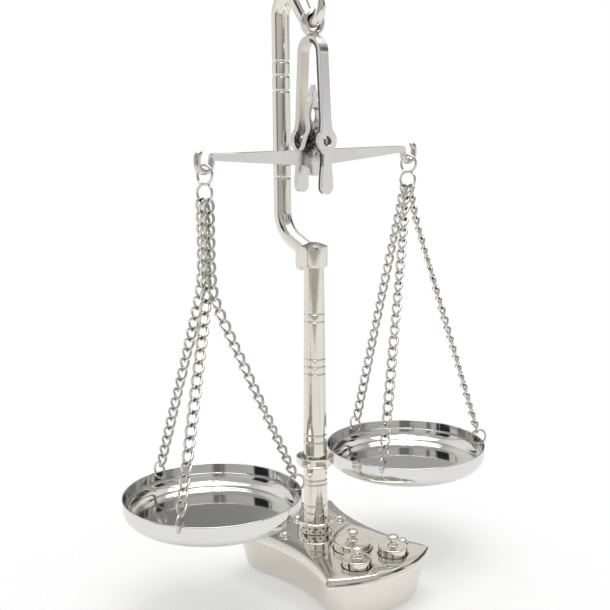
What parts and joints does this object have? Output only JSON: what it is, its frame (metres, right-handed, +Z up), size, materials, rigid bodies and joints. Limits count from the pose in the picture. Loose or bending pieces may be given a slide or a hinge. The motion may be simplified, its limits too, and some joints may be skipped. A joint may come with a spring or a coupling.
{
  "type": "balance scale",
  "caption": "Free-standing balance scale: swan-neck stand, knife-edge beam, chain-hung pans, and knobbed weights seated in a waisted base.",
  "frame": {"origin": "on the floor, under the axis of the column", "axes": "+Z up, +X along the beam from the left pan to the right pan, +Y from the weights towards the swan neck"},
  "size_m": [0.305, 0.1577, 0.4317],
  "materials": {
    "polished_plate": "polished nickel plate, warm tint",
    "satin_plate": "satin flat faces with polished edges",
    "chain_plate": "nickel-plated wire links",
    "steel": "plain turned steel",
    "felt": "dark felt"
  },
  "bodies": {
    "stand": {"base_pad": "felt", "base_casting": "polished_plate", "top_casting": "polished_plate", "top_screws": "polished_plate", "column_foot": "polished_plate", "column_lower": "polished_plate", "column_flange": "polished_plate", "column_upper": "polished_plate", "tie_rod": "steel", "tie_washer": "steel", "tie_nut": "steel", "neck_cap": "polished_plate", "swan_neck": "polished_plate"},
    "shackle_body": {"shackle": "satin_plate"},
    "beam_body": {"beam": "satin_plate", "knife_edge": "steel"},
    "left_hanging": {"left_s_hook": "polished_plate", "left_chain_back": "chain_plate", "left_chain_outer": "chain_plate", "left_chain_inner": "chain_plate", "left_pan_rings": "polished_plate", "left_pan": "polished_plate"},
    "right_hanging": {"right_s_hook": "polished_plate", "right_chain_back": "chain_plate", "right_chain_inner": "chain_plate", "right_chain_outer": "chain_plate", "right_pan_rings": "polished_plate", "right_pan": "polished_plate"},
    "large_weight_body": {"large_weight": "polished_plate"},
    "left_weight_body": {"left_small_weight": "polished_plate"},
    "right_weight_body": {"right_small_weight": "polished_plate"}
  },
  "joints": [
    {"name": "shackle_swing", "type": "hinge", "parent": "stand", "child": "shackle_body", "pos_m": [0, 0, 0.4117], "axis": [0, 1, 0], "range_deg": [-1.5, 1.5]},
    {"name": "beam_tilt", "type": "hinge", "parent": "shackle_body", "child": "beam_body", "pos_m": [0, 0, 0.32245], "axis": [0, 1, 0], "range_deg": [-15, 15]},
    {"name": "left_pan_swing", "type": "hinge", "parent": "beam_body", "child": "left_hanging", "pos_m": [-0.09, 0, 0.3112], "axis": [0, 1, 0], "range_deg": [-15, 15]},
    {"name": "right_pan_swing", "type": "hinge", "parent": "beam_body", "child": "right_hanging", "pos_m": [0.09, 0, 0.3112], "axis": [0, 1, 0], "range_deg": [-15, 15]},
    {"name": "large_weight_lift", "type": "slide", "parent": "stand", "child": "large_weight_body", "axis": [0, 0, 1], "range_m": [0, 0.03]},
    {"name": "left_weight_lift", "type": "slide", "parent": "stand", "child": "left_weight_body", "axis": [0, 0, 1], "range_m": [0, 0.03]},
    {"name": "right_weight_lift", "type": "slide", "parent": "stand", "child": "right_weight_body", "axis": [0, 0, 1], "range_m": [0, 0.03]}
  ],
  "couplings": [
    {"joint": "left_pan_swing", "follows": "beam_tilt", "ratio": -1},
    {"joint": "right_pan_swing", "follows": "beam_tilt", "ratio": -1}
  ]
}
